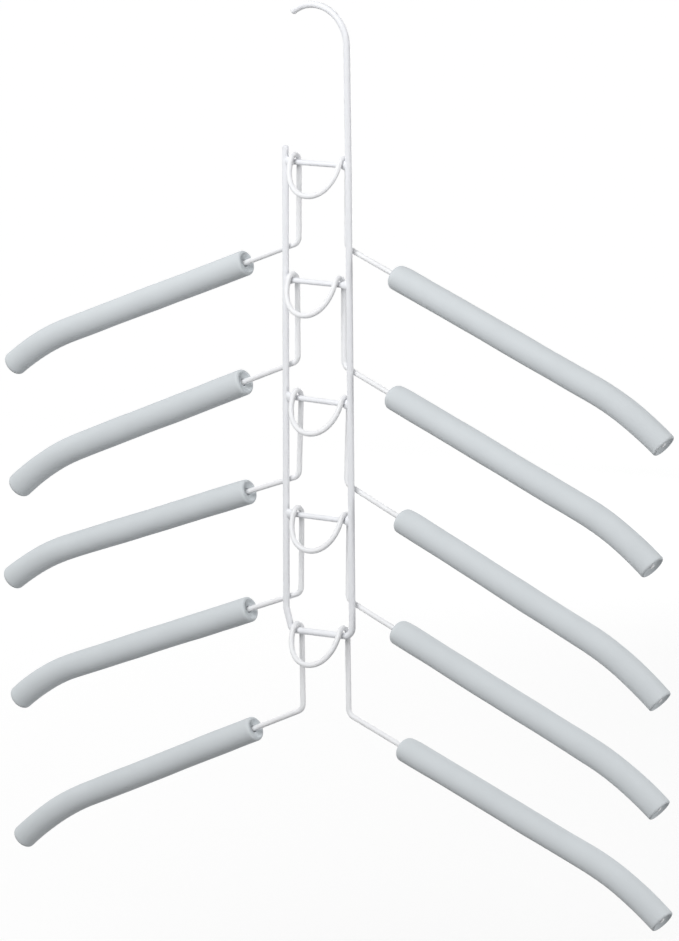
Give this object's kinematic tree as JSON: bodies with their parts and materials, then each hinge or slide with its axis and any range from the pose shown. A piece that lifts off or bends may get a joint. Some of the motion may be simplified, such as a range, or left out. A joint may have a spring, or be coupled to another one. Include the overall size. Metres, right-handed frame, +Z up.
{
  "type": "multi-layer trouser hanger",
  "caption": "Hooked wire frame with stacked crossbars, each carrying a swinging wire hanger whose drooping arms wear foam sleeves.",
  "frame": {"origin": "inside of the hook's top, where it rests on a wardrobe rail", "axes": "+Z up, +X along the crossbars to the right as seen from the front, +Y towards the back"},
  "size_m": [0.4115, 0.0316, 0.4631],
  "materials": {
    "wire_coating": "white powder coating, satin",
    "sleeve_foam": "light grey closed-cell foam, matte"
  },
  "bodies": {
    "frame": {"spine_frame": "wire_coating", "crossbar_1": "wire_coating", "crossbar_2": "wire_coating", "crossbar_3": "wire_coating", "crossbar_4": "wire_coating"},
    "hanger_1": {"hanger_wire_1": "wire_coating", "foam_sleeve_1_left": "sleeve_foam", "foam_sleeve_1_right": "sleeve_foam"},
    "hanger_2": {"hanger_wire_2": "wire_coating", "foam_sleeve_2_left": "sleeve_foam", "foam_sleeve_2_right": "sleeve_foam"},
    "hanger_3": {"hanger_wire_3": "wire_coating", "foam_sleeve_3_left": "sleeve_foam", "foam_sleeve_3_right": "sleeve_foam"},
    "hanger_4": {"hanger_wire_4": "wire_coating", "foam_sleeve_4_left": "sleeve_foam", "foam_sleeve_4_right": "sleeve_foam"},
    "hanger_5": {"hanger_wire_5": "wire_coating", "foam_sleeve_5_left": "sleeve_foam", "foam_sleeve_5_right": "sleeve_foam"}
  },
  "joints": [
    {"name": "hanger_1_swing", "type": "hinge", "parent": "frame", "child": "hanger_1", "pos_m": [0.0018, 0, -0.0774], "axis": [1, 0, 0.0028], "range_deg": [0, 90]},
    {"name": "hanger_2_swing", "type": "hinge", "parent": "frame", "child": "hanger_2", "pos_m": [0.0018, 0, -0.1374], "axis": [1, 0, -0.0035], "range_deg": [0, 90]},
    {"name": "hanger_3_swing", "type": "hinge", "parent": "frame", "child": "hanger_3", "pos_m": [0.0018, 0, -0.1974], "axis": [0.9998, 0, -0.0178], "range_deg": [0, 90]},
    {"name": "hanger_4_swing", "type": "hinge", "parent": "frame", "child": "hanger_4", "pos_m": [0.0018, 0, -0.2574], "axis": [1, 0, 0.0019], "range_deg": [0, 90]},
    {"name": "hanger_5_swing", "type": "hinge", "parent": "frame", "child": "hanger_5", "pos_m": [0.0018, 0, -0.3174], "axis": [0.9998, 0, 0.0199], "range_deg": [-90, 90]}
  ]
}
